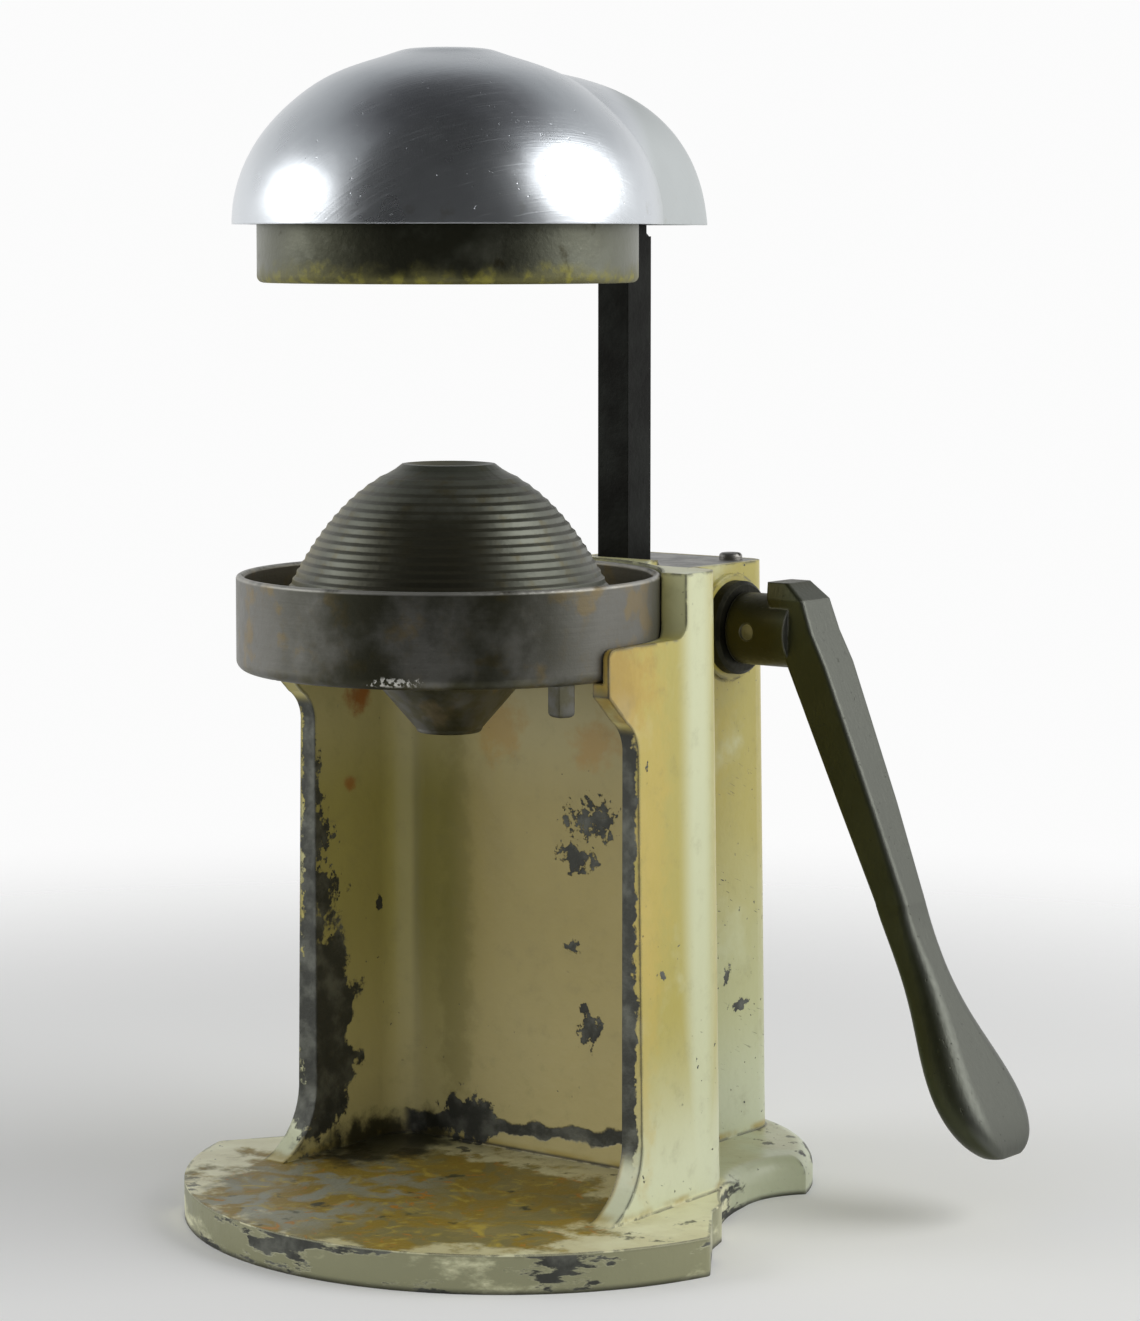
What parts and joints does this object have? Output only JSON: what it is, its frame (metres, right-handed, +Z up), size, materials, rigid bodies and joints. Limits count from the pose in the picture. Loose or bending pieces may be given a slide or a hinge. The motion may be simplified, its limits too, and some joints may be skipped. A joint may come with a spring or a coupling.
{
  "type": "citrus press",
  "caption": "Hand-cranked rack-and-pinion citrus press: a domed pressing head over a ridged strainer cone in a funnel bowl, on a cast open-front stand with a splayed crank handle.",
  "frame": {"origin": "on the bowl's axis, in the plane of the base's underside", "axes": "+Z up along the bowl's axis, +Y to the rear (tower), +X to the crank side"},
  "size_m": [0.1849, 0.1714, 0.2846],
  "materials": {
    "enamel": "worn cream enamel with chips and stain",
    "bowl_aluminium": "dull oxidised",
    "cone_aluminium": "dull, stained",
    "dome_aluminium": "polished, finely scratched",
    "cup_aluminium": "dull, grimy at the lip",
    "handle_aluminium": "dark, worn bright on edges",
    "rack_steel": "blackened and oily",
    "plain_steel": "aged",
    "guide_iron": "rough cast",
    "shoe_bronze": "dull bronze",
    "bush_bronze": "dark, grimy"
  },
  "bodies": {
    "stand": {"frame_casting": "enamel", "juice_bowl": "bowl_aluminium", "strainer_cone": "cone_aluminium", "rack_guide": "guide_iron", "friction_shoe": "shoe_bronze", "friction_spring": "plain_steel", "guide_plate": "plain_steel", "guide_plate_screws": "plain_steel", "collar_bush": "bush_bronze", "left_bush": "bush_bronze"},
    "crank": {"crank_handle": "handle_aluminium", "crank_shaft": "plain_steel", "drive_pinion": "plain_steel", "pinion_pin": "plain_steel", "thrust_washer": "plain_steel", "handle_pin": "plain_steel"},
    "head": {"dome_head": "dome_aluminium", "rack": "rack_steel", "rack_stop_pin": "plain_steel", "rack_screws": "plain_steel", "pressing_cup": "cup_aluminium", "cup_spacer": "cup_aluminium", "cup_washer": "plain_steel", "cup_screw": "plain_steel"}
  },
  "joints": [
    {"name": "crank_turn", "type": "hinge", "parent": "stand", "child": "crank", "pos_m": [0.024, 0.0845, 0.141], "axis": [1, 0, 0], "range_deg": [0, 460]},
    {"name": "head_slide", "type": "slide", "parent": "stand", "child": "head", "axis": [0, 0, 1], "range_m": [-0.0772, 0]}
  ],
  "couplings": [
    {"joint": "head_slide", "follows": "crank_turn", "m_per_rad": -0.0096}
  ]
}
